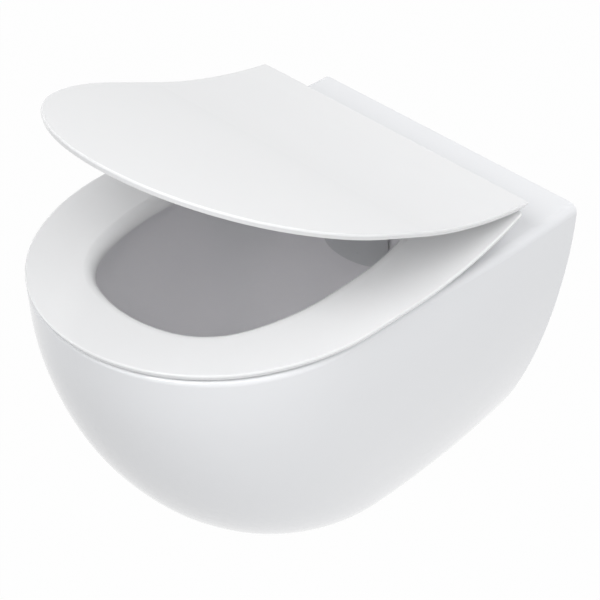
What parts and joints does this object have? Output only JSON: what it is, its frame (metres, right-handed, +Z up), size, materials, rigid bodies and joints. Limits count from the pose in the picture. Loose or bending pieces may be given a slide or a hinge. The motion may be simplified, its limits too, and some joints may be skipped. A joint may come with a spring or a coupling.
{
  "type": "wall hung toilet",
  "caption": "Wall hung toilet: a skirted rimless ceramic pan with a thin soft-closing seat and lid that sweep up to hidden hinges.",
  "frame": {"origin": "midway between the two wall studs, in the plane of the wall", "axes": "+X right as one faces the wall, +Y to the wall, +Z up"},
  "size_m": [0.37, 0.5115, 0.538],
  "materials": {
    "ceramic": "glossy white glaze",
    "duroplast": "smooth glossy white thermoset",
    "hinge_metal": "polished chrome plate",
    "steel": "stainless steel",
    "rubber": "matt soft rubber",
    "buffer": "translucent white soft buffer",
    "moulding": "matt white moulding",
    "grey_moulding": "matt grey moulding"
  },
  "bodies": {
    "pan": {"pan": "ceramic", "flush_distributor": "moulding", "hinge_post_right": "hinge_metal", "hinge_base_right": "hinge_metal", "hinge_sleeve_right": "rubber", "hinge_pin_right": "steel", "fixing_block_right": "grey_moulding", "hinge_post_left": "hinge_metal", "hinge_base_left": "hinge_metal", "hinge_sleeve_left": "rubber", "hinge_pin_left": "steel", "fixing_block_left": "grey_moulding", "hinge_screws": "steel", "hinge_nuts": "steel", "clamp_screws": "steel"},
    "seat": {"seat": "duroplast", "seat_damper": "grey_moulding", "seat_bush": "grey_moulding", "seat_buffers": "buffer"},
    "lid": {"lid": "duroplast", "lid_damper": "grey_moulding", "lid_bush": "grey_moulding", "lid_buffers": "buffer"}
  },
  "joints": [
    {"name": "seat_hinge", "type": "hinge", "parent": "pan", "child": "seat", "pos_m": [0, -0.085, 0.106], "axis": [-1, 0, 0], "range_deg": [0, 92]},
    {"name": "lid_hinge", "type": "hinge", "parent": "seat", "child": "lid", "pos_m": [0, -0.085, 0.106], "axis": [-1, 0, 0], "range_deg": [-23.9, 72]}
  ]
}
